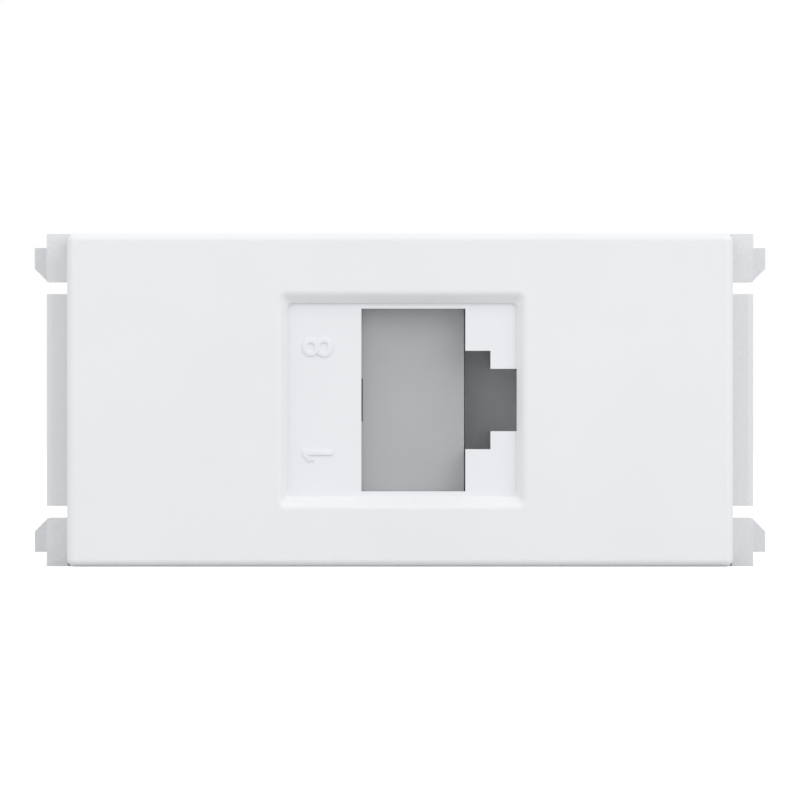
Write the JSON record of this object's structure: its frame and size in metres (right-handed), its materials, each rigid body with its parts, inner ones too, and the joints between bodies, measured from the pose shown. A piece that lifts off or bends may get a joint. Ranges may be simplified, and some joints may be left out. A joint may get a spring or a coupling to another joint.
{
  "type": "keystone faceplate",
  "caption": "One-module snap-in faceplate with a shuttered modular jack in its port and a punch-down block behind it.",
  "frame": {"origin": "Centre of the module on its seat plane, where the rear faces of the two end ledges bear on the support frame.", "axes": "X runs along the 45 mm length, Z across the 22.5 mm width, and -Y faces the room. The plug opening looks along -Y, with its latch slot toward +X."},
  "size_m": [0.0496, 0.0316, 0.0226],
  "materials": {
    "cover_white": "satin white moulded plastic",
    "jack_white": "satin white moulded plastic",
    "shutter_grey": "light grey moulded plastic",
    "spring_steel": "bright steel",
    "carrier_plastic": "dark moulded plastic",
    "contact_gold": "gold-plated spring strip",
    "board_green": "green circuit board",
    "block_white": "white moulded plastic",
    "blade_tin": "tin-plated bronze plate",
    "cap_grey": "light grey moulded plastic"
  },
  "bodies": {
    "base": {"faceplate": "cover_white", "jack_housing": "jack_white", "shutter_pin": "spring_steel", "shutter_spring": "spring_steel", "contact_carrier": "carrier_plastic", "contact_wire_1": "contact_gold", "contact_wire_2": "contact_gold", "contact_wire_3": "contact_gold", "contact_wire_4": "contact_gold", "contact_wire_5": "contact_gold", "contact_wire_6": "contact_gold", "contact_wire_7": "contact_gold", "contact_wire_8": "contact_gold", "circuit_board": "board_green", "idc_block": "block_white", "idc_contact_1": "blade_tin", "idc_contact_2": "blade_tin", "idc_contact_3": "blade_tin", "idc_contact_4": "blade_tin", "idc_contact_5": "blade_tin", "idc_contact_6": "blade_tin", "idc_contact_7": "blade_tin", "idc_contact_8": "blade_tin", "wire_cap_left": "cap_grey", "wire_cap_right": "cap_grey"},
    "shutter": {"shutter_flap": "shutter_grey"}
  },
  "joints": [
    {"name": "shutter_hinge", "type": "hinge", "parent": "base", "child": "shutter", "pos_m": [-0.00346, -0.00155, 0], "axis": [0, 0, 1], "range_deg": [0, 85], "stiffness_Nm_per_rad": 0.0004, "springref_deg": -34.38, "deforming": ["shutter_spring"]}
  ]
}
